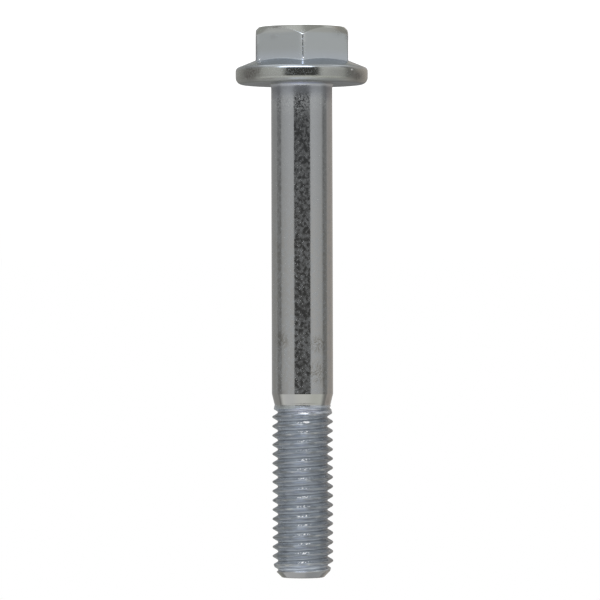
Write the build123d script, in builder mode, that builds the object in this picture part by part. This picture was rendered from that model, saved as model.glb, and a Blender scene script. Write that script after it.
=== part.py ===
from build123d import *

import os
from math import radians, sqrt, tan

# M10 hexagon flange bolt, forged in one piece from steel, with a rolled right-hand thread.
# It stands on its head: Z = 0 is the flat top of the hexagon, the shank rises along +Z,
# and one corner of the hexagon points to -Y. Sizes are millimetres, angles are degrees.

# Hexagon
across_flats = 14.8
corner_radius = 0.3  # rounding of the six upright corners
chamfer_circle = 13.9  # diameter of the flat round top inside the chamfer
head_chamfer_angle = 45
head_height = 9.15  # top of the hexagon to the bearing face, flange included

# Flange
flange_diameter = 21.4
flange_edge = 2.5  # height of the rim, up to where the cone would meet it
flange_cone_angle = 22
hexagon_foot_radius = 0.3  # where the hexagon's sides run into the flange's cone
rim_outer_radius = 0.7  # rounding between the cone and the rim
rim_bearing_radius = 0.8  # rounding between the rim and the bearing face

# Shank
shank_diameter = 9.9
length_under_head = 79.8
under_head_radius = 0.5
neck_length = 1.8  # taper from the shank down to the rolling blank

# Thread
thread_size = 10.0
thread_pitch = 1.5
thread_length = 27.9  # end of the neck to the tip
crest_diameter = 9.8  # rolled crests stand a little under the thread size
lead_in_length = 1.8  # the crests rise to full height over this length

# Tip
tip_diameter = 6.8
tip_chamfer_length = 1.0
tip_taper_length = 1.6  # the last crests sink over this length before the chamfer

# Heights up the bolt, from the head's top at Z = 0 to the tip
bearing_z = head_height
rim_z = bearing_z - flange_edge
tip_z = head_height + length_under_head
thread_z = tip_z - thread_length
neck_z = thread_z - neck_length
crest_start_z = thread_z + lead_in_length
chamfer_z = tip_z - tip_chamfer_length
crest_end_z = chamfer_z - tip_taper_length

# Radii of what is turned. The blank that a 60 degree thread is rolled from has the
# thread's pitch diameter, so that what the roots lose the crests gain.
vee_height = thread_pitch * sqrt(3) / 2
blank_radius = thread_size / 2 - vee_height * 3 / 8
rim_radius = flange_diameter / 2
shank_radius = shank_diameter / 2
crest_radius = crest_diameter / 2
tip_radius = tip_diameter / 2
chamfer_radius = chamfer_circle / 2

# The flange's cone is drawn to its own apex on the axis, inside the hexagon.
apex_z = rim_z - rim_radius * tan(radians(flange_cone_angle))

# The tool that chamfers the hexagon's top is a cone wider than the corners.
tool_radius = across_flats
tool_z = (tool_radius - chamfer_radius) * tan(radians(head_chamfer_angle))

with BuildPart() as flange_bolt:
    # Hexagon, with its top corners taken off by the turned chamfer
    with BuildSketch() as hexagon:
        RegularPolygon(across_flats / 2, 6, major_radius=False, rotation=30)
        fillet(hexagon.vertices(), corner_radius)
    extrude(amount=rim_z)
    with BuildSketch(Plane.XZ):
        with BuildLine():
            Polyline(
                (0, 0),
                (chamfer_radius, 0),
                (tool_radius, tool_z),
                (tool_radius, tool_z + rim_z),
                (0, tool_z + rim_z),
                close=True,
            )
        make_face()
    revolve(axis=Axis.Z, mode=Mode.INTERSECT)

    # Flange, its rim rounded above and below
    with BuildSketch(Plane.XZ) as flange:
        with BuildLine():
            Polyline(
                (0, bearing_z),
                (rim_radius, bearing_z),
                (rim_radius, rim_z),
                (0, apex_z),
                close=True,
            )
        make_face()
        rim = flange.vertices().group_by(Axis.X)[-1]
        fillet(rim.sort_by(Axis.Y)[-1], rim_bearing_radius)
        rim = flange.vertices().group_by(Axis.X)[-1]
        fillet(rim.sort_by(Axis.Y)[0], rim_outer_radius)
    revolve(axis=Axis.Z)
    cone = flange_bolt.faces().filter_by(GeomType.CONE).sort_by(Axis.Z)[-1]
    foot = cone.edges().filter_by(GeomType.LINE, reverse=True)
    fillet(foot.filter_by(GeomType.CIRCLE, reverse=True), hexagon_foot_radius)

    # Shank, neck, the thread's outline over its crests, and the chamfered tip
    with BuildSketch(Plane.XZ):
        with BuildLine():
            Polyline(
                (0, bearing_z),
                (shank_radius, bearing_z),
                (shank_radius, neck_z),
                (blank_radius, thread_z),
                (crest_radius, crest_start_z),
                (crest_radius, crest_end_z),
                (tip_radius + tip_chamfer_length, chamfer_z),
                (tip_radius, tip_z),
                (0, tip_z),
                close=True,
            )
        make_face()
    revolve(axis=Axis.Z)
    bearing_edges = flange_bolt.edges().filter_by_position(Axis.Z, bearing_z, bearing_z)
    fillet(bearing_edges.sort_by(SortBy.RADIUS)[0], under_head_radius)

flange_bolt.part.label = "flange_bolt"

os.makedirs("parts", exist_ok=True)
export_step(flange_bolt.part, "parts/flange_bolt.step")
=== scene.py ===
from math import cos, pi, radians, sin, tan

import bmesh
import bpy
import numpy as np
from mathutils import Matrix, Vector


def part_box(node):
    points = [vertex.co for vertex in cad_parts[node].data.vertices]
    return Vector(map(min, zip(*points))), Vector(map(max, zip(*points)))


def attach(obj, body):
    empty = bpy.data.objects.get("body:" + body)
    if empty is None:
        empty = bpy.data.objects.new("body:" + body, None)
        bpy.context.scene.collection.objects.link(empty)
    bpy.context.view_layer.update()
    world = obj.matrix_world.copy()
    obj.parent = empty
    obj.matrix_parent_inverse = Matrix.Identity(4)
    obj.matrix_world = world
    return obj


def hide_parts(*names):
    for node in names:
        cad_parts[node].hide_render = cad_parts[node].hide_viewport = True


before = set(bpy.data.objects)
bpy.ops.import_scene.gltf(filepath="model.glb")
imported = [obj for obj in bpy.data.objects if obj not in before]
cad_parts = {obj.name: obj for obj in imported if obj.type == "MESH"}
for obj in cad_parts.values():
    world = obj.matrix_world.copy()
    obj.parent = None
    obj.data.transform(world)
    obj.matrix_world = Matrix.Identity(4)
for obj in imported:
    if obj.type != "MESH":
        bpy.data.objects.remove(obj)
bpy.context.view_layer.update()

# ---------------------------------------------------------------------------
# The bolt: forged from round steel bar and turned under the head, with a
# rolled right-hand M10 x 1.5 thread. It stands on its head, one corner of the
# hexagon towards -Y, and the whole of it is one closed skin.
# ---------------------------------------------------------------------------
mm = 0.001
low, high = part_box("flange_bolt")
tip_z = high.z
flange_radius = (high.y - low.y) / 2

# The head: a hexagon with rounded corners and a turned chamfer, on the flange's cone.
across_flats = 14.8 * mm
corner_radius = 0.3 * mm
head_top_radius = 6.95 * mm
bearing_z = 9.15 * mm
rim_z = bearing_z - 2.5 * mm
cone_slope = tan(radians(22))
cone_inset = 0.9 * mm  # how far inside the rim the cone's own rows stop
top_round, chamfer_round, foot_round = 0.2 * mm, 0.25 * mm, 0.3 * mm
end_ring_radius = 1 * mm  # both flat ends are closed by a disc inside this ring
columns = 192


def hexagon_radius(angle):
    """Distance from the axis to the rounded hexagon. Within the corner's arc it is the far
    crossing with the arc's circle; beyond it, half the flats over the cosine from the flat."""
    off_corner = (angle + pi / 2 + pi / 6) % (pi / 3) - pi / 6
    arc_centre = (across_flats / 2 - corner_radius) / cos(pi / 6)
    arc_half = np.arctan2(corner_radius / 2, arc_centre + corner_radius * cos(pi / 6))
    turned = np.minimum(np.abs(off_corner), arc_half)
    arc = arc_centre * np.cos(turned) + np.sqrt(
        corner_radius**2 - (arc_centre * np.sin(turned)) ** 2
    )
    flat = across_flats / 2 / np.cos(pi / 6 - np.abs(off_corner))
    return np.where(np.abs(off_corner) < arc_half, arc, flat)


def rounded_profile(corners, radii, arc_steps, run_steps):
    """Rows of (radius, height) down a line of corners. Each corner gives way to an arc that
    leaves both straights at its radius over the tangent of half the corner's angle; each
    straight is split with its rows crowded to both ends by a cosine."""
    corners = [np.stack(np.broadcast_arrays(r, z), -1) for r, z in corners]
    rows, leave = [], corners[0]
    for k in range(1, len(corners)):
        arc = [corners[k]]
        if k < len(corners) - 1:
            back = corners[k - 1] - corners[k]
            on = corners[k + 1] - corners[k]
            back = back / np.linalg.norm(back, axis=-1, keepdims=True)
            on = on / np.linalg.norm(on, axis=-1, keepdims=True)
            half = np.arccos(np.clip((back * on).sum(-1, keepdims=True), -1, 1)) / 2
            middle = back + on
            middle /= np.linalg.norm(middle, axis=-1, keepdims=True)
            centre = corners[k] + middle * radii[k - 1] / np.sin(half)
            start = corners[k] + back * radii[k - 1] / np.tan(half) - centre
            end = corners[k] + on * radii[k - 1] / np.tan(half) - centre
            sweep = pi - 2 * half
            arc = [
                centre + (np.sin((1 - t) * sweep) * start + np.sin(t * sweep) * end) / np.sin(sweep)
                for t in np.linspace(0, 1, arc_steps + 1)
            ]
        splits = run_steps[k - 1]
        for t in (1 - np.cos(np.linspace(0, pi, splits + 1)[:-1])) / 2:
            if k == 1 or t > 0:
                rows.append(leave + (arc[0] - leave) * t)
        rows += arc
        leave = arc[-1]
    return np.array(rows)


def cone_z(radius):
    """Height of the flange's cone: the rim's height, less the way in from the rim times the
    cone's slope."""
    return rim_z - (flange_radius - radius) * cone_slope


# Columns crowd to the six corners, so that each small corner radius has its own, and even
# out over the flange's cone. Both spacings start on the middle of a flat, 30 degrees short
# of the corner at -Y.
crowding = 2.5
per_side = columns // 6
even = np.arange(columns) / columns
in_side = (np.arange(columns) % per_side) / per_side * 2 - 1
crowded = (
    (np.arange(columns) // per_side + 0.5) / 6
    + np.sign(in_side) * np.abs(in_side) ** crowding / 12
)
start_angle = -pi / 2 - pi / 6
even_angle = start_angle + 2 * pi * even
hexagon_angle = start_angle + 2 * pi * crowded

side = hexagon_radius(hexagon_angle)
cone_middle = (side + flange_radius) / 2
cone_rows = 5
head_rows = rounded_profile(
    [
        (side * 0 + end_ring_radius, side * 0),
        (side * 0 + head_top_radius, side * 0),
        (side, side - head_top_radius),  # the chamfer is turned at 45 degrees
        (side, cone_z(side)),
        (cone_middle, cone_z(cone_middle)),
    ],
    [top_round, chamfer_round, foot_round],
    6,
    [6, 6, 16, cone_rows],
)
head_angles = np.broadcast_to(hexagon_angle, head_rows.shape[:2]).copy()
ease = np.linspace(0, 1, cone_rows + 1)[:, None]
head_angles[-cone_rows - 1 :] = hexagon_angle * (1 - ease) + even_angle * ease
cone_end = flange_radius - cone_inset
cone_r = head_rows[-cone_rows - 1, :, 0] * (1 - ease) + cone_end * ease
head_rows[-cone_rows - 1 :] = np.stack([cone_r, cone_z(cone_r)], -1)

# The flange's rim and the shank, up to the neck where the thread begins.
shank_radius, blank_radius = 4.95 * mm, 4.513 * mm
neck_z, thread_z = 59.25 * mm, 61.05 * mm
bearing_dish = 0.1 * mm  # the bearing face is hollow, so that the flange grips by its rim
rim_rounds, fillet, neck_rounds = [0.7 * mm, 1.1 * mm], 0.5 * mm, [0.6 * mm, 0.3 * mm]
round_rows = rounded_profile(
    [
        (cone_end, cone_z(cone_end)),
        (flange_radius, rim_z),
        (flange_radius, bearing_z + bearing_dish),
        (shank_radius, bearing_z),
        (shank_radius, neck_z),
        (blank_radius, thread_z),
        (blank_radius, thread_z + 0.2 * mm),
    ],
    [*rim_rounds, fillet, *neck_rounds],
    8,
    [2, 4, 8, 40, 4, 1],
)[1:, None, :]
round_rows = np.broadcast_to(round_rows, (len(round_rows), columns, 2))
round_angles = np.broadcast_to(even_angle, round_rows.shape[:2])

# The thread: the skin's rows climb with the helix, so that a row runs along each crest,
# flank and root, and are held at both ends of the thread where it meets plain rings.
pitch = 1.5 * mm
crest_radius, root_radius, last_crest_radius = 4.9 * mm, 4.02 * mm, 4.4 * mm
root_half_width = 0.125 * mm
root_blend, crest_blend = 0.16 * mm, 0.14 * mm
groove_z = 62.27 * mm  # a groove's middle at +X
run_out_z, run_out_length, run_out_rise = 61.14 * mm, 0.9 * mm, 0.9 * mm
lead_in_z = 62.85 * mm
taper_z, chamfer_z = 86.35 * mm, 87.95 * mm
thread_start_z, thread_end_z = 60.4 * mm, tip_z - 0.35 * mm
tip_radius, tip_round = 3.4 * mm, 0.15 * mm


def soft_min(a, b, blend):
    """The lesser of a and b, with the crossing rounded: a quarter of the blend comes off
    where they are equal, and nothing where they are a blend apart."""
    closeness = np.clip(1 - np.abs(a - b) / blend, 0, 1)
    return np.minimum(a, b) - closeness**2 * blend / 4


def thread_outline(z):
    """Radius of the skin with no groove: the neck, the blank, crests that rise, run level,
    sink a little and end in the tip's chamfer."""
    return np.interp(
        z,
        [neck_z, thread_z, lead_in_z, taper_z, chamfer_z, tip_z],
        [shank_radius, blank_radius, crest_radius, crest_radius, last_crest_radius, tip_radius],
    )


def thread_radius(angle, z):
    """The outline cut by the groove. The groove's middle is a helix; from it the flanks rise
    at tan 60 degrees of the distance along the bolt. Its last turn towards the head climbs
    out of the blank."""
    turns = (z - groove_z) / pitch - angle / (2 * pi)
    middle = z - (turns - np.round(turns)) * pitch
    away = np.abs(z - middle)
    run_out = np.clip((middle - run_out_z) / run_out_length, 0, 1)
    root = root_radius + (1 - run_out**0.7) * run_out_rise
    flank = root + (away - root_half_width) * tan(radians(60))
    groove = -soft_min(-flank, -root, root_blend)
    return soft_min(groove, thread_outline(z), crest_blend)


rows_per_pitch = 18
climb = even * pitch
steps = int(np.ceil((thread_end_z - thread_start_z + pitch) / (pitch / rows_per_pitch)))
climbing_z = thread_start_z - pitch + np.arange(steps + 1)[:, None] * pitch / rows_per_pitch
thread_z_rows = np.clip(climbing_z + climb, thread_start_z, thread_end_z)
thread_angles = np.broadcast_to(even_angle, thread_z_rows.shape)
thread_rows = np.stack([thread_radius(thread_angles, thread_z_rows), thread_z_rows], -1)

# The tip: the rest of the chamfer, rounded over into the flat end.
tip_rows = rounded_profile(
    [
        (tip_radius + (tip_z - thread_end_z), thread_end_z),
        (tip_radius, tip_z),
        (end_ring_radius, tip_z),
    ],
    [tip_round],
    6,
    [2, 5],
)[1:, None, :]
tip_rows = np.broadcast_to(tip_rows, (len(tip_rows), columns, 2))
tip_angles = np.broadcast_to(even_angle, tip_rows.shape[:2])


def ring_faces(first, count):
    """Four-sided faces between neighbouring rings of the skin, each ring closing on itself."""
    ring, column = np.meshgrid(np.arange(count - 1), np.arange(columns), indexing="ij")
    a = first + ring * columns + column
    b = first + ring * columns + (column + 1) % columns
    return np.stack([a, b, b + columns, a + columns], -1).reshape(-1, 4)


def climbing_faces(first, count):
    """The same faces where the rings climb: the last column joins the first one a pitch up."""
    ring, column = np.meshgrid(np.arange(count - 1), np.arange(columns), indexing="ij")
    seam = column == columns - 1
    up = np.minimum(ring + rows_per_pitch * seam, count - 1)
    up_next = np.minimum(ring + 1 + rows_per_pitch * seam, count - 1)
    a = first + ring * columns + column
    b = first + up * columns + (column + 1) % columns
    c = first + up_next * columns + (column + 1) % columns
    d = first + (ring + 1) * columns + column
    return np.stack([a, b, c, d], -1).reshape(-1, 4)


before_thread = np.concatenate([head_rows, round_rows])
before_angles = np.concatenate([head_angles, round_angles])
keep = before_thread[:, 0, 1] < thread_start_z
before_thread, before_angles = before_thread[keep], before_angles[keep]
profile = np.concatenate([before_thread, thread_rows, tip_rows])
angles = np.concatenate([before_angles, thread_angles, tip_angles])
skin = np.stack(
    [profile[..., 0] * np.cos(angles), profile[..., 0] * np.sin(angles), profile[..., 1]], -1
).reshape(-1, 3)
n_before, n_thread, n_tip = len(before_thread), len(thread_rows), len(tip_rows)
faces = np.concatenate(
    [
        ring_faces(0, n_before + 1),
        climbing_faces(n_before * columns, n_thread),
        ring_faces((n_before + n_thread - 1) * columns, n_tip + 1),
    ]
)
mesh = bpy.data.meshes.new("bolt_skin")
mesh.from_pydata(skin.tolist(), [], faces.tolist())
shell = bmesh.new()
shell.from_mesh(mesh)
merge_distance = 1e-7
bmesh.ops.remove_doubles(shell, verts=shell.verts, dist=merge_distance)
bmesh.ops.dissolve_degenerate(shell, edges=shell.edges, dist=merge_distance)
bmesh.ops.holes_fill(shell, edges=[e for e in shell.edges if e.is_boundary], sides=0)
bmesh.ops.recalc_face_normals(shell, faces=shell.faces)
for face in shell.faces:
    face.smooth = True
shell.to_mesh(mesh)
shell.free()

# What the thread rolls and handling have left, and light painted on, kept as values on the
# skin's points: painted shade in the thread's root with a painted highlight beside it, duller
# crests, worn chamfer edges, a painted highlight on the front corner, painted glints, dirt, and
# painted shade beside the thread's glints.
place = np.empty(len(mesh.vertices) * 3)
mesh.vertices.foreach_get("co", place)
facing = np.empty(len(mesh.vertices) * 3)
mesh.vertices.foreach_get("normal", facing)
x, y, z = place.reshape(-1, 3).T
_, out_y, out_z = facing.reshape(-1, 3).T
radius, angle = np.hypot(x, y), np.arctan2(y, x)
tilt = np.degrees(np.arcsin(np.clip(out_z, -1, 1)))
from_groove = (((z - groove_z) / pitch - angle / (2 * pi) + 0.5) % 1 - 0.5) * pitch
from_front = np.degrees(angle) + 90
from_corner = np.abs((from_front + 30) % 60 - 30)


def hump(value, middle, width):
    """A smooth hump: e to the minus square of the distance from the middle in widths."""
    return np.exp(-(((value - middle) / width) ** 2))


def inside(value, start, end):
    """1 where the value lies between start and end, and 0 elsewhere."""
    return (value > start) * (value < end)


def spots(*marks):
    """Round or long marks on the side towards -Y, each given in millimetres as its place
    towards -X and up, its half width and half height, and its strength."""
    on_front = np.clip(-out_y * 4, 0, 1)
    return on_front * np.clip(
        sum(
            strength * hump(-x, at * mm, half_width * mm) * hump(z, up * mm, half_height * mm)
            for at, up, half_width, half_height, strength in marks
        ),
        0,
        1,
    )


crests_start, flank_highlight_start, crest_glints_start = 62.42 * mm, 62.5 * mm, 62 * mm
# Painted shade: a dark line in the thread's root, and a fainter one on the flank towards the head.
root_line = hump(from_groove, 0.05 * mm, 0.12 * mm) + 0.3 * hump(from_groove, -0.45 * mm, 0.1 * mm)
root_fade = np.clip((z - thread_z) / mm, 0, 1) * np.clip((taper_z - z) / mm + 1, 0, 1)
wear = {
    "root": root_line * root_fade,
    # a painted highlight beside the root on its head side, towards -Y
    "flank_highlight": hump(from_groove, -0.14 * mm, 0.07 * mm)
    * hump(from_front, 0, 22)
    * inside(z, flank_highlight_start, taper_z),
    "top": inside(z, crests_start, chamfer_z) * hump(np.abs(from_groove), pitch / 2, 0.2 * mm),
    "edge": hump(from_corner, 0, 2.8) * hump(tilt, -22, 16) * (z < 3 * mm),
    # a painted highlight on the hexagon's corner towards -Y
    "corner": hump(from_corner, 0, 3.0) * inside(z, 1 * mm, 6 * mm) * (y < -6 * mm),
    # painted glints on the crests' shoulders towards -Y
    "crest_glints": hump(from_groove, 0.42 * mm, 0.14 * mm)
    * hump(from_front, 0, 15)
    * inside(z, crest_glints_start, chamfer_z - 0.6 * mm),
    # dirt on the rim, the head and the neck, painted shade beside the thread's glints, and a dark
    # line round the tip's end
    "dirt_and_shade": spots(
        # on the flange's rim
        (-8.4, 7.8, 1.3, 1.2, 1.4), (8.7, 8.2, 1.0, 0.9, 1.0),
        (7.9, 7.3, 0.4, 0.3, 0.7), (-7.0, 7.3, 0.25, 0.4, 0.9), (-5.4, 8.8, 1.6, 0.15, 0.7),
        (-2.9, 8.8, 0.8, 0.15, 0.5),
        # on the hexagon, its chamfer and its foot
        (-4.2, 0.3, 1.4, 0.25, 0.9), (-4.7, 1.9, 0.5, 0.3, 0.35), (6.0, 1.0, 1.1, 0.7, 0.35),
        (7.2, 1.6, 0.3, 1.2, 0.6), (-7.3, 4.5, 0.25, 1.6, 0.3), (-6.9, 6.2, 0.4, 0.25, 0.6),
        # on the neck
        (4.0, 60.5, 0.25, 0.5, 0.4), (-3.6, 59.9, 0.2, 0.25, 0.5), (1.9, 59.8, 0.5, 0.15, 0.4),
        (-3.4, 59.0, 0.5, 0.2, 0.4), (0.2, 60.78, 1.6, 0.1, 0.7),
        # on the thread: painted shade beside its glints
        (1.35, 62.25, 0.2, 0.1, 1.5), (1.3, 69.7, 0.3, 0.12, 0.5), (1.3, 72.7, 0.3, 0.12, 0.5),
    ) + hump(z, tip_z, 0.14 * mm) * 0.5 * (radius > 2.5 * mm),
    "painted_glint": spots(
        # painted glints on the hexagon's foot and the rim
        (0.05, 5.35, 0.14, 0.14, 1.0), (-6.9, 5.4, 0.14, 0.14, 0.9),
        (-7.05, 6.0, 0.14, 0.14, 1.2), (7.9, 7.2, 0.2, 0.15, 0.9),
        # painted glints on the thread's first two crests
        (0.1, 62.32, 0.8, 0.07, 1.6), (0.5, 63.73, 0.5, 0.1, 2.0),
    ),
}
for name, amount in wear.items():
    mesh.attributes.new(name, "FLOAT", "POINT").data.foreach_set("value", amount.astype(np.float32))
bolt = bpy.data.objects.new("bolt_skin", mesh)
bpy.context.scene.collection.objects.link(bolt)

# Zinc plating: a thin grey metal, smooth on the shank, with fine specks that are darker and
# a little less smooth. It is duller under the head, and thick, matt and bluish on the thread.
plating = bpy.data.materials.new("zinc_plated_steel")
plating.use_nodes = True
tree = plating.node_tree
shader = tree.nodes["Principled BSDF"]


def add_node(kind, settings=(), **inputs):
    """A node of the plating's material. An input is named by its socket, with _ for a space,
    or by _ and its number, and takes a number, a colour or another node's socket."""
    node = tree.nodes.new("ShaderNode" + kind)
    for name, value in dict(settings).items():
        setattr(node, name, value)
    for name, value in inputs.items():
        numbered = name[0] == "_"
        socket = node.inputs[int(name[1:])] if numbered else node.inputs[name.replace("_", " ")]
        if isinstance(value, bpy.types.NodeSocket):
            tree.links.new(value, socket)
        else:
            socket.default_value = value
    return node


def maths(operation, *values):
    """One operation, named as Blender's Math node names it, on numbers or sockets."""
    numbered = {f"_{k}": value for k, value in enumerate(values)}
    return add_node("Math", {"operation": operation}, **numbered).outputs[0]


def times(first, second):
    """The product of two masks."""
    return maths("MULTIPLY", first, second)


def between(value, low, high, to_low=0.0, to_high=1.0):
    """The value carried from low..high to to_low..to_high by a smoothstep, held at both ends."""
    return add_node(
        "MapRange", {"interpolation_type": "SMOOTHSTEP"},
        Value=value, From_Min=low, From_Max=high, To_Min=to_low, To_Max=to_high,
    ).outputs["Result"]


on_piece = add_node("TexCoord").outputs["Object"]
placed = add_node("SeparateXYZ", Vector=on_piece).outputs


def height_from(low, high, to_low=0.0, to_high=1.0):
    """The height on the piece, from low to high in millimetres, carried to to_low..to_high."""
    return between(placed["Z"], low * mm, high * mm, to_low, to_high)


def across_from(low, high):
    """The place along X, from low to high in millimetres, carried to 0..1."""
    return between(placed["X"], low * mm, high * mm)


def close_to(point, reach):
    """1 close to a point of the piece and 0 beyond its reach, both in millimetres."""
    gap = add_node(
        "VectorMath", {"operation": "DISTANCE"}, _0=on_piece, _1=[k * mm for k in point]
    ).outputs["Value"]
    return between(gap, reach * mm, 0.3 * reach * mm)


def noise(scale, detail, stretch=(1, 1, 1), distortion=0.0, roughness=0.5):
    """A noise texture on the piece's own coordinates, its scale given per millimetre."""
    sized = add_node("Mapping", Vector=on_piece, Scale=[k / mm for k in stretch])
    return add_node(
        "TexNoise", Vector=sized.outputs["Vector"],
        Scale=scale, Detail=detail, Distortion=distortion, Roughness=roughness,
    ).outputs["Fac"]


def levels(value, *layers):
    """The value with each layer, a mask and a value, laid over what is there by its mask."""
    for mask, level in layers:
        value = add_node("Mix", _0=mask, _2=value, _3=level).outputs[0]
    return value


def coats(colour, *layers):
    """The colour with each layer, a mask and a colour, laid over what is there by its mask."""
    for mask, tint in layers:
        ground, tint = (
            c if isinstance(c, bpy.types.NodeSocket) else (*c, 1) for c in (colour, tint)
        )
        colour = add_node("Mix", {"data_type": "RGBA"}, _0=mask, _6=ground, _7=tint).outputs[2]
    return colour


root, flank_highlight, top, edge, corner, crest_glints, dirt_and_shade, painted_glint = (
    add_node("Attribute", {"attribute_name": name}).outputs["Fac"] for name in wear
)
on_head = height_from(9.4, 9.1)
on_thread = times(height_from(60.9, 61.3), height_from(88.0, 87.7))

# The masks that the plating's colour, smoothness and metal share. The specks lie thicker in
# slow clouds, and are finer towards the head.
coarse, fine = (noise(scale, 2, (1, 1, 0.85), 0.4) for scale in (2.0, 3.4))
grains = levels(coarse, (height_from(17, 13.5), fine))
grains = maths("MULTIPLY_ADD", noise(0.5, 1, (1, 1, 0.6)), 0.25, grains)
grains = maths("ADD", grains, height_from(14, 11.5, 0.0, 0.045))
specks = between(grains, 0.48, 0.8)
shank_specks = times(specks, height_from(59.4, 59.0))
grit = between(noise(2.6, 3, (1, 1, 1), 0.5, 0.6), 0.35, 0.7, 0.55, 1.0)
soiled_and_shaded = times(dirt_and_shade, grit)
under_head = times(height_from(12.0, 10.2), between(noise(1.2, 2), 0.2, 0.5, 0.7, 1.0))
streaks = noise(1.0, 3, (0.5, 0.5, 4.0), 0.3)
dashes = between(noise(3.2, 2), 0.54, 0.59)
# Painted glints, white and not metal: on the hexagon's foot, the rim, the first crests, and along
# the crests towards -Y.
bright = maths("MAXIMUM", between(painted_glint, 0.3, 0.75), between(times(crest_glints, dashes), 0.12, 0.6))

# Scuffs on the shank near the neck: thin crooked lines, where a noise crosses its middle.
lines = maths("ABSOLUTE", maths("SUBTRACT", noise(0.9, 3, (1, 1, 0.8), 2.5), 0.5))
lines = between(lines, 0.07, 0.02)
scuffed = close_to((-2.4, -4.33, 51.2), 1.9)
for point, reach in (((-2.4, -4.33, 55.8), 2.4), ((3.5, -3.5, 50.6), 1.9)):
    scuffed = maths("MAXIMUM", scuffed, close_to(point, reach))
scuffed = times(scuffed, lines)

roughness = levels(
    0.08,
    (specks, 0.13),
    (under_head, 0.34),
    (
        on_head,
        levels(
            0.17,
            (times(between(grains, 0.58, 0.94), height_from(7.0, 7.3)), 0.33),  # the rim
            (height_from(8.1, 8.8), 0.34),  # the flange's underside
        ),
    ),
    (edge, 0.16),
    (times(corner, dashes), 0.5),
    (on_thread, levels(0.22, (top, 0.4))),
    (soiled_and_shaded, 0.55),
)
tree.links.new(roughness, shader.inputs["Roughness"])

metal = levels(
    1.0,
    (shank_specks, height_from(15, 12, 0.84, 0.68)),
    (under_head, 0.9),
    (on_head, 1.0),
    (on_thread, levels(0.65, (top, 0.95))),
    (soiled_and_shaded, 0.75),
    (bright, 0.0),
)
tree.links.new(metal, shader.inputs["Metallic"])

# The shank and the fillet under the head, with painted shade at both sides just below the flange
# and a painted highlight on the fillet.
shaded_sides = between(maths("ABSOLUTE", placed["X"]), 3.2 * mm, 3.9 * mm)
shank_colour = coats(
    (0.352, 0.364, 0.376),
    (height_from(12, 40), (0.362, 0.363, 0.355)),
    (shank_specks, (0.3, 0.31, 0.315)),
    (under_head, (0.298, 0.313, 0.335)),
    # painted shade of the flange at the shank's sides
    (times(height_from(12.4, 11.2), shaded_sides), (0.255, 0.265, 0.285)),
    (height_from(10.0, 9.5), (0.37, 0.385, 0.41)),  # the fillet, painted lighter as a highlight
    (times(scuffed, 0.7), (0.17, 0.16, 0.135)),
)

# The head, from its chamfered end to the flange's underside, with light painted on one flat and
# one side of the chamfer, and a painted highlight below the flange towards -Y.
# The chamfer, painted lighter towards +X and darker towards -X, as its light falls.
chamfer_colour = coats((0.44, 0.455, 0.44), (across_from(4, -4), (0.38, 0.39, 0.368)))
head_colour = coats(
    (0.382, 0.405, 0.408),
    (across_from(1.5, -1.5), (0.41, 0.435, 0.44)),  # one flat is painted lighter than the other, as its light falls
    (height_from(1.5, 0.9), chamfer_colour),
    (height_from(3.5, 5.7), (0.435, 0.47, 0.508)),  # the foot and the cone
    (height_from(6.5, 7.2), (0.38, 0.392, 0.368)),  # the rim
    (height_from(7.4, 8.5), (0.348, 0.356, 0.338)),
    (times(height_from(6.9, 7.6), across_from(-2.5, -5)), (0.318, 0.326, 0.309)),
    (height_from(8.85, 9.1), (0.275, 0.282, 0.272)),  # the underside
    # a painted highlight on the fillet and the flange's underside towards -Y
    (close_to((0, -4.7, 9.15), 4.2), (0.6, 0.62, 0.73)),
)

# The thread: streaks from the rolls, duller crests, painted shade and a painted highlight at
# its start, and painted shade in the root with a painted highlight beside it.
crests = times(top, 0.8)
starting = times(height_from(61.45, 61.7), height_from(62.3, 62.15))
thread_colour = coats(
    (0.352, 0.386, 0.432),
    (between(streaks, 0.35, 0.7, 0.0, 0.45), (0.5, 0.53, 0.55)),
    (between(streaks, 0.5, 0.3, 0.0, 0.5), (0.14, 0.15, 0.17)),
    (crests, (0.24, 0.25, 0.26)),
    (times(crests, between(noise(0.7, 2, (1, 1, 2)), 0.55, 0.63)), (0.43, 0.44, 0.43)),
    (times(crests, between(noise(0.45, 2, (1, 1, 2.5)), 0.5, 0.44)), (0.15, 0.16, 0.165)),
    # painted shade on the thread's start towards -Y and +X
    (times(height_from(61.8, 61.5), close_to((3.4, -3.6, 61.3), 3.6)), (0.25, 0.27, 0.27)),
    # painted highlight on the thread's start towards -Y
    (times(starting, close_to((-0.4, -4.8, 62.0), 3.9)), (0.54, 0.56, 0.62)),
    # painted shade in the root
    (times(root, 0.9), (0.07, 0.08, 0.09)),
    # painted highlight beside the root, towards -Y
    (times(flank_highlight, 0.7), (0.5, 0.54, 0.58)),
)

colour = coats(
    shank_colour,
    (on_head, head_colour),
    # a painted highlight on the hexagon's corner towards -Y
    (times(corner, 0.12), (0.8, 0.82, 0.84)),
    (edge, (0.85, 0.86, 0.86)),
    (on_thread, thread_colour),
    # dirt, and painted shade beside the thread's glints
    (times(soiled_and_shaded, 0.9), (0.06, 0.05, 0.045)),
    # painted glints
    (bright, (0.95, 0.95, 0.95)),
)
tree.links.new(colour, shader.inputs["Base Color"])

grain = noise(1.7, 3, distortion=0.8)
bump = add_node("Bump", Height=grain, Distance=0.006 * mm, Strength=1.0)
tree.links.new(bump.outputs["Normal"], shader.inputs["Normal"])
mesh.materials.append(plating)
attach(bolt, "root")
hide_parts("flange_bolt")

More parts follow.
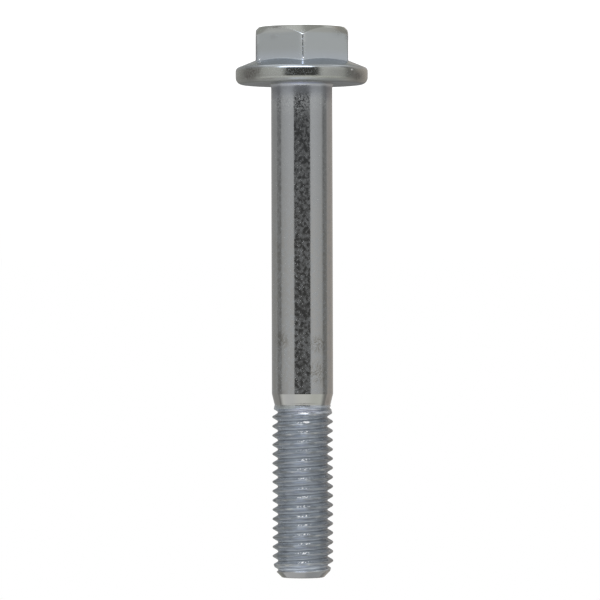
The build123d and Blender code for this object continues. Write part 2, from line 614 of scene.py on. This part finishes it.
# ---------------------------------------------------------------------------
# The table: a plain pale floor that keeps the bolt's soft shadow. It glows
# only where the camera, a reflection or glass looks at it.
# ---------------------------------------------------------------------------
floor_sides, floor_radius, floor_z = 96, 4, -0.02 * mm
floor_mesh = bpy.data.meshes.new("floor")
around = np.arange(floor_sides) / floor_sides * 2 * pi
floor_ring = np.stack(
    [floor_radius * np.cos(around), floor_radius * np.sin(around), around * 0 + floor_z], -1
)
floor_mesh.from_pydata(floor_ring.tolist(), [], [list(range(floor_sides))])
floor = bpy.data.objects.new("floor", floor_mesh)
bpy.context.scene.collection.objects.link(floor)


def looked_at(nodes, links):
    """1 for a ray from the camera, a reflection or glass: the greatest of the three."""
    light_path = nodes.new("ShaderNodeLightPath").outputs
    greatest = light_path["Is Camera Ray"]
    for kind in ("Is Glossy Ray", "Is Transmission Ray"):
        either = nodes.new("ShaderNodeMath")
        either.operation = "MAXIMUM"
        links.new(greatest, either.inputs[0])
        links.new(light_path[kind], either.inputs[1])
        greatest = either.outputs[0]
    return greatest


pale = bpy.data.materials.new("pale_floor")
pale.use_nodes = True
floor_mesh.materials.append(pale)
nodes, links = pale.node_tree.nodes, pale.node_tree.links
nodes.clear()
glow = nodes.new("ShaderNodeMath")
glow.operation = "MULTIPLY"
glow.inputs[1].default_value = 0.8
links.new(looked_at(nodes, links), glow.inputs[0])
emit = nodes.new("ShaderNodeEmission")
links.new(glow.outputs[0], emit.inputs["Strength"])
matt = nodes.new("ShaderNodeBsdfDiffuse")
matt.inputs["Color"].default_value = (0.8, 0.8, 0.8, 1)
both = nodes.new("ShaderNodeAddShader")
links.new(emit.outputs[0], both.inputs[0])
links.new(matt.outputs[0], both.inputs[1])
out = nodes.new("ShaderNodeOutputMaterial")
links.new(both.outputs[0], out.inputs["Surface"])

# ---------------------------------------------------------------------------
# The light: a white room, one soft lamp, and a tent of grey paper panels
# that only the bolt's reflections show: a dark card in front, bright ones
# over and under it, and greyer ones behind the bolt.
# ---------------------------------------------------------------------------
world = bpy.data.worlds.new("room")
bpy.context.scene.world = world
world.use_nodes = True
nodes, links = world.node_tree.nodes, world.node_tree.links
background = nodes["Background"]
background.inputs["Color"].default_value = (1, 1, 1, 1)
strength = nodes.new("ShaderNodeMapRange")
strength.inputs["To Min"].default_value = 0.25
strength.inputs["To Max"].default_value = 1.0
links.new(looked_at(nodes, links), strength.inputs["Value"])
links.new(strength.outputs["Result"], background.inputs["Strength"])

dome_radius = 0.5
dome_rows, dome_columns = 180, 360
camera_turn = 1.4  # degrees round from -Y


def window(value, start, end, soft):
    """1 from start to end and 0 outside, eased over soft at each by a smoothstep."""
    t = np.clip((value - start) / soft + 0.5, 0, 1) * np.clip((end - value) / soft + 0.5, 0, 1)
    return t * t * (3 - 2 * t)


row = np.linspace(-pi / 2, pi / 2, dome_rows)[:, None]
turn = np.arange(dome_columns) / dome_columns * 2 * pi
dome_points = dome_radius * np.stack(
    np.broadcast_arrays(np.cos(row) * np.cos(turn), np.cos(row) * np.sin(turn), np.sin(row)), -1
)
# degrees round from the camera's side to the camera's right, and degrees above the table
aside = np.degrees((radians(-90 + camera_turn) - turn + pi) % (2 * pi) - pi)[None, :]
above = np.degrees(row)
front = window(aside, -166, 166, 12)
behind = 1 - front
far = 1 - window(aside, -150, 150, 12)

# The panels at the bolt's own level, whose greys show on the shank as upright bands. They
# turn warmer towards the back, and rosy past the camera's right.
tone = np.ones((dome_rows, dome_columns, 3))
panel_edges = [-180, -109, -106, -87, -83, -75, -50, 0, 45, 76, 82, 86, 105, 109, 180]
panel_greys = [
    0.42, 0.52, 0.34, 0.31, 0.60, 0.68, 0.80, 0.84, 0.86, 0.74, 0.60, 0.30, 0.38, 0.62, 0.50,
]
grey = np.interp(aside, panel_edges, panel_greys)[..., None]
warmth = np.interp(aside, [-180, -100, -60, 60, 100, 180], [1, 0.6, 0, 0, 0.8, 2])[..., None]
rosiness = np.interp(aside, [100, 115], [0, 1])[..., None]
warm, rosy = np.array([0.01, 0, -0.04]), np.array([0.07, 0, -0.02])


def paint(mask, colour):
    """Lays a card of one colour over the dome where the mask is 1."""
    tone[:] = tone * (1 - mask[..., None]) + mask[..., None] * np.array(colour)


paint(window(above, -45, 45, 20), grey * (1 + warmth * warm + rosiness * rosy))
# behind the bolt
paint(window(above, 38, 78, 8) * (1 - window(aside, -140, 140, 12)), (0.36, 0.36, 0.36))
paint(window(above, -12, 40, 8) * behind, (0.255, 0.255, 0.265))
paint(window(above, -53, -20, 6) * far, (0.37, 0.38, 0.35))
paint(window(above, 20, 50, 6) * far * (aside < 0), (0.4, 0.41, 0.37))
# overhead
paint(window(above, 50, 80, 6) * front, (0.78, 0.78, 0.76))
paint(window(above, 54, 82, 6) * window(aside, -48, 22, 10), (1.32, 1.42, 1.7))
paint(window(above, 74, 91, 6), (0.8, 0.81, 0.83))
paint(window(above, 50, 84, 8) * window(aside, 60, 145, 20), (0.62, 0.64, 0.67))
paint(window(above, 50, 84, 8) * window(aside, -145, -60, 20), (0.86, 0.87, 0.9))
# in front and at the sides, above the dark card
paint(window(above, 34, 52, 6) * window(aside, -90, 84, 50), (0.74, 0.74, 0.7))
paint(window(above, 34, 50, 6) * window(aside, -40, 40, 16), (1.08, 1.08, 1.05))
paint(window(above, 22, 36, 4) * window(aside, -94, 84, 24), (1.2, 1.2, 1.15))
paint(window(above, 22, 36, 4) * window(aside, 26, 84, 44), (1.02, 1.04, 0.97))
paint(window(above, 22, 36, 4) * window(aside, -84, -26, 44), (1.08, 1.09, 1.09))
# underneath
paint(window(above, -91, -60, 6), (0.95, 0.95, 0.93))
paint(window(above, -91, -60, 6) * window(aside, -14, 185, 10), (0.56, 0.56, 0.54))
# the dark card in front, and the bright one under it
paint(window(aside, -30, 31, 2) * window(above, -21, 21, 3), (0.095, 0.095, 0.095))
paint(window(aside, -44, 20, 8) * window(above, -54, -23, 4), (3.45, 3.75, 4.45))

dome_mesh = bpy.data.meshes.new("paper_dome")
ring, column = np.meshgrid(np.arange(dome_rows - 1), np.arange(dome_columns), indexing="ij")
first = ring * dome_columns + column
second = ring * dome_columns + (column + 1) % dome_columns
dome_faces = np.stack([first, first + dome_columns, second + dome_columns, second], -1)
dome_mesh.from_pydata(dome_points.reshape(-1, 3).tolist(), [], dome_faces.reshape(-1, 4).tolist())
shade = dome_mesh.attributes.new("tone", "FLOAT_COLOR", "POINT")
opaque_tone = np.concatenate([tone, tone[..., :1] * 0 + 1], -1)
shade.data.foreach_set("color", opaque_tone.ravel().astype(np.float32))
dome = bpy.data.objects.new("paper_dome", dome_mesh)
bpy.context.scene.collection.objects.link(dome)
paper = bpy.data.materials.new("dome_paper")
paper.use_nodes = True
nodes, links = paper.node_tree.nodes, paper.node_tree.links
nodes.clear()
painted = nodes.new("ShaderNodeAttribute")
painted.attribute_name = "tone"
lit_paper = nodes.new("ShaderNodeEmission")
surface = nodes.new("ShaderNodeOutputMaterial")
links.new(painted.outputs["Color"], lit_paper.inputs["Color"])
links.new(lit_paper.outputs[0], surface.inputs["Surface"])
dome_mesh.materials.append(paper)
dome.visible_camera = dome.visible_diffuse = dome.visible_shadow = False
dome.visible_transmission = False
paper.cycles.emission_sampling = "NONE"
floor.visible_glossy = False

lamp = bpy.data.objects.new("soft_lamp", bpy.data.lights.new("soft_lamp", "AREA"))
bpy.context.scene.collection.objects.link(lamp)
lamp.data.size = 0.5
lamp.data.energy = 10
lamp.matrix_world = (
    Matrix.Rotation(radians(11), 4, "Z")
    @ Matrix.Translation((0, -0.75, 0.25))
    @ Matrix.Rotation(radians(75), 4, "X")
)
lamp.visible_glossy = False
lamp.visible_camera = False

# ---------------------------------------------------------------------------
# The camera: level with the middle of the bolt and upside down, so that the
# head, which the bolt stands on, is at the top of its view.
# ---------------------------------------------------------------------------
camera = bpy.data.objects.new("camera", bpy.data.cameras.new("camera"))
bpy.context.scene.collection.objects.link(camera)
bpy.context.scene.camera = camera
camera.data.sensor_width = 36
camera.data.lens = 241.3
camera.data.clip_start, camera.data.clip_end = 0.05, 20
camera_aside, camera_away, camera_height = 0.365 * mm, 651 * mm, 44.1 * mm
camera_roll = -0.149  # degrees
upside_down = Matrix(((-1, 0, 0), (0, 0, -1), (0, -1, 0))).to_4x4()
camera.matrix_world = (
    Matrix.Rotation(radians(camera_turn), 4, "Z")
    @ Matrix.Translation((camera_aside, -camera_away, camera_height))
    @ upside_down
    @ Matrix.Rotation(radians(camera_roll), 4, "Z")
)
bpy.context.scene.view_settings.view_transform = "Standard"
